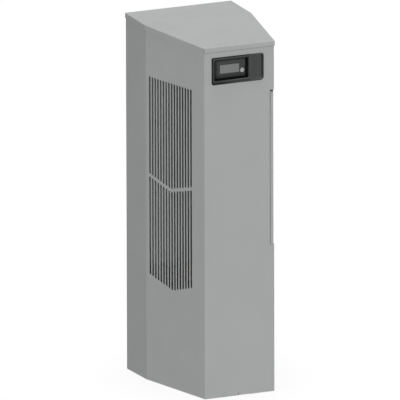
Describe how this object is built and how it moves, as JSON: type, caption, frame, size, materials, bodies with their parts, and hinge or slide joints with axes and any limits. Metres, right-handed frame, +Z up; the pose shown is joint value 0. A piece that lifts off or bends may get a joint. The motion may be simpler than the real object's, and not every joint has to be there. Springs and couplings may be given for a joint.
{
  "type": "enclosure air conditioner",
  "caption": "Tall narrow side-mount enclosure air conditioner: tapered sheet-metal hood with slotted cheeks, sloped cap, recessed controller, pull-out filter and gasketed rear face.",
  "frame": {"origin": "middle of the bounding box on the floor plane, under the cabinet", "axes": "+Z up, front (display side) towards -Y, +X to the right seen from the front"},
  "size_m": [0.2964, 0.3676, 0.9299],
  "materials": {
    "powder_coat": "light grey powder coat with a fine texture",
    "foam_rubber": "closed-cell foam strip",
    "foil_foam": "dark foam insulation sheet",
    "galvanised": "galvanised sheet with a faint spangle",
    "dark_paint": "dark grey paint",
    "zinc": "zinc plated",
    "black_plastic": "moulded black with a fine grain",
    "dark_plastic": "smooth black panel",
    "beige_plastic": "moulded",
    "circuit_board": "solder mask",
    "lcd_glass": "grey display window",
    "grey_button": "light grey moulded",
    "fin_aluminium": "mill finish",
    "copper": "drawn copper",
    "brass_fitting": "turned",
    "black_enamel": "semi-gloss black enamel",
    "fan_plastic": "moulded",
    "shaft_steel": "ground",
    "guard_wire": "bright plated wire",
    "pan_plastic": "moulded",
    "hose_vinyl": "clear grey vinyl",
    "grommet_rubber": "matt",
    "filter_aluminium": "satin aluminium frame",
    "filter_mesh": "layered expanded mesh"
  },
  "bodies": {
    "chassis": {"accumulator": "black_enamel", "base_pan": "powder_coat", "blower_bracket": "galvanised", "blower_motor": "black_enamel", "cap_screws": "zinc", "capillary_tube": "copper", "compressor_bolts": "zinc", "compressor_grommets": "grommet_rubber", "compressor_shell": "black_enamel", "compressor_terminal_cover": "black_plastic", "condensate_pan": "pan_plastic", "condenser_end_plates": "galvanised", "condenser_fins": "fin_aluminium", "condenser_tubes": "copper", "contactor": "black_plastic", "controller_board": "circuit_board", "controller_faceplate": "dark_plastic", "controller_housing": "black_plastic", "discharge_line": "copper", "display_bezel": "black_plastic", "drain_fitting": "pan_plastic", "drain_hose": "hose_vinyl", "electrical_box": "galvanised", "evaporator_end_plates": "galvanised", "evaporator_fins": "fin_aluminium", "evaporator_liner": "foil_foam", "evaporator_tubes": "copper", "fan_panel": "dark_paint", "fan_spiders": "dark_paint", "filter_drier": "copper", "filter_rails": "galvanised", "hood": "powder_coat", "inlet_ring": "galvanised", "lcd_window": "lcd_glass", "liquid_line": "copper", "lower_fan_motor": "black_enamel", "mounting_gasket": "foam_rubber", "mounting_nuts": "zinc", "partition_panel": "galvanised", "partition_shelf": "galvanised", "power_inlet": "black_plastic", "rear_panel": "powder_coat", "rear_screws": "zinc", "return_guard": "guard_wire", "run_capacitor": "fin_aluminium", "service_ports": "brass_fitting", "suction_line": "copper", "supply_grille": "black_plastic", "terminal_block": "beige_plastic", "top_cover": "powder_coat", "upper_fan_motor": "black_enamel"},
    "filter": {"filter_frame": "filter_aluminium", "filter_media": "filter_mesh"},
    "button": {"set_button": "grey_button"},
    "upper_fan": {"upper_fan_rotor": "fan_plastic", "upper_fan_shaft": "shaft_steel"},
    "lower_fan": {"lower_fan_rotor": "fan_plastic", "lower_fan_shaft": "shaft_steel"},
    "blower": {"blower_wheel": "fan_plastic", "blower_shaft": "shaft_steel"}
  },
  "joints": [
    {"name": "filter_slide", "type": "slide", "parent": "chassis", "child": "filter", "axis": [-0.2023, -0.9793, 0], "range_m": [0, 0.215]},
    {"name": "button_press", "type": "slide", "parent": "chassis", "child": "button", "axis": [0, 1, 0], "range_m": [0, 0.0015], "stiffness_N_per_m": 1200},
    {"name": "upper_fan_spin", "type": "hinge", "parent": "chassis", "child": "upper_fan", "pos_m": [-0.025, -0.06, 0.665], "axis": [1, 0, 0], "continuous": true},
    {"name": "lower_fan_spin", "type": "hinge", "parent": "chassis", "child": "lower_fan", "pos_m": [-0.025, -0.06, 0.4], "axis": [1, 0, 0], "continuous": true},
    {"name": "blower_spin", "type": "hinge", "parent": "chassis", "child": "blower", "pos_m": [0, 0.13, 0.76], "axis": [0, 1, 0], "continuous": true}
  ]
}
